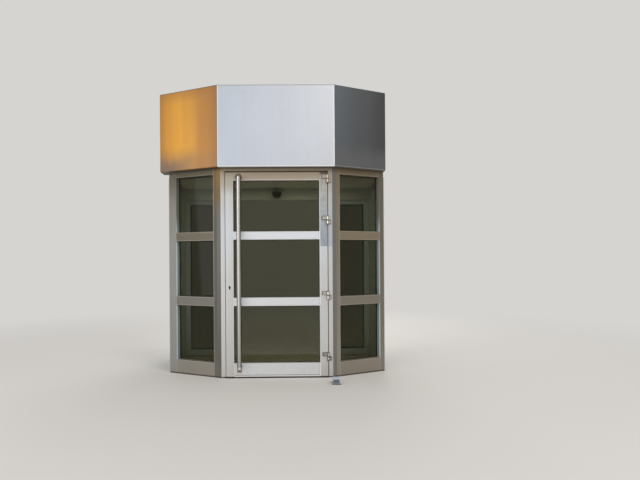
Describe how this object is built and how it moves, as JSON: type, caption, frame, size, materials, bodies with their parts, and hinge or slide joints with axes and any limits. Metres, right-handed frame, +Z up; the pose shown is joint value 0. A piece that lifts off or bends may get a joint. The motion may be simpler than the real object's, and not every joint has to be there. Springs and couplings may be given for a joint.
{
  "type": "canted glazed entrance bay with hinged door",
  "caption": "Three-sided glazed entrance bay: a hinged aluminium and glass door between canted sidelights, under a deep metal fascia, before a shallow lobby.",
  "frame": {"origin": "on the ground, under the middle of the door frame's street face", "axes": "+X to the right along the door as seen from the street, +Y into the lobby, +Z up"},
  "size_m": [2.5156, 1.5415, 3.12],
  "materials": {
    "door_aluminium": "satin anodised silver, slightly streaked",
    "sill_aluminium": "worn mill aluminium",
    "bead_aluminium": "bright anodised",
    "corner_metal": "dark grey satin",
    "side_metal": "taupe satin",
    "fascia_gold": "golden orange, upright brushed streaks",
    "fascia_silver": "light silver, fine brushed",
    "fascia_graphite": "dark graphite, satin",
    "fascia_plain": "plain grey",
    "angle_steel": "primed grey",
    "soffit": "dark matt",
    "ceiling": "off-white matt",
    "floor_tile": "beige tile",
    "wall_panel": "grey satin laminate",
    "casing": "grey satin",
    "sensor": "black gloss",
    "inner_metal": "grey anodised",
    "glass": "green grey tinted",
    "handle_steel": "satin stainless",
    "lock_brass": "dull nickel over brass",
    "hinge_metal": "anodised, worn",
    "stop_metal": "blue grey enamel",
    "rose_metal": "dark bronze, worn",
    "gasket_rubber": "black rubber"
  },
  "bodies": {
    "bay": {"jamb_left": "door_aluminium", "jamb_right": "door_aluminium", "frame_head": "door_aluminium", "door_sill": "sill_aluminium", "corner_post_left": "corner_metal", "corner_post_right": "corner_metal", "left_near_stile": "side_metal", "left_wall_post": "side_metal", "left_top_rail": "side_metal", "left_upper_bar": "side_metal", "left_lower_bar": "side_metal", "left_bottom_rail": "side_metal", "left_panes": "glass", "left_beads": "side_metal", "right_near_stile": "side_metal", "right_wall_post": "side_metal", "right_top_rail": "side_metal", "right_upper_bar": "side_metal", "right_lower_bar": "side_metal", "right_bottom_rail": "side_metal", "right_panes": "glass", "right_beads": "side_metal", "fascia_left_sheet": "fascia_gold", "fascia_front_sheet": "fascia_silver", "fascia_right_sheet": "fascia_graphite", "fascia_top_sheet": "fascia_plain", "fascia_back_sheet": "fascia_plain", "fascia_angles": "angle_steel", "soffit_board": "soffit", "lobby_ceiling": "ceiling", "lobby_floor": "floor_tile", "lobby_wall_left": "wall_panel", "lobby_wall_right": "wall_panel", "operator_casing": "casing", "motion_sensor": "sensor", "inner_frame_left": "inner_metal", "inner_frame_right": "inner_metal", "inner_pane_left": "glass", "inner_pane_right": "glass", "inner_gaskets": "gasket_rubber", "hinge_jamb_halves": "hinge_metal", "door_stop": "stop_metal"},
    "door_leaf": {"leaf_lock_stile": "door_aluminium", "leaf_hinge_stile": "door_aluminium", "leaf_top_rail": "door_aluminium", "leaf_upper_bar": "door_aluminium", "leaf_lower_bar": "door_aluminium", "leaf_bottom_rail": "door_aluminium", "leaf_panes": "glass", "leaf_beads": "bead_aluminium", "pull_handle": "handle_steel", "pull_roses": "rose_metal", "lock_cylinder": "lock_brass", "hinge_leaf_halves": "hinge_metal"}
  },
  "joints": [
    {"name": "door_swing", "type": "hinge", "parent": "bay", "child": "door_leaf", "pos_m": [0.548, -0.0135, 0], "axis": [0, 0, 1], "range_deg": [0, 96]}
  ]
}
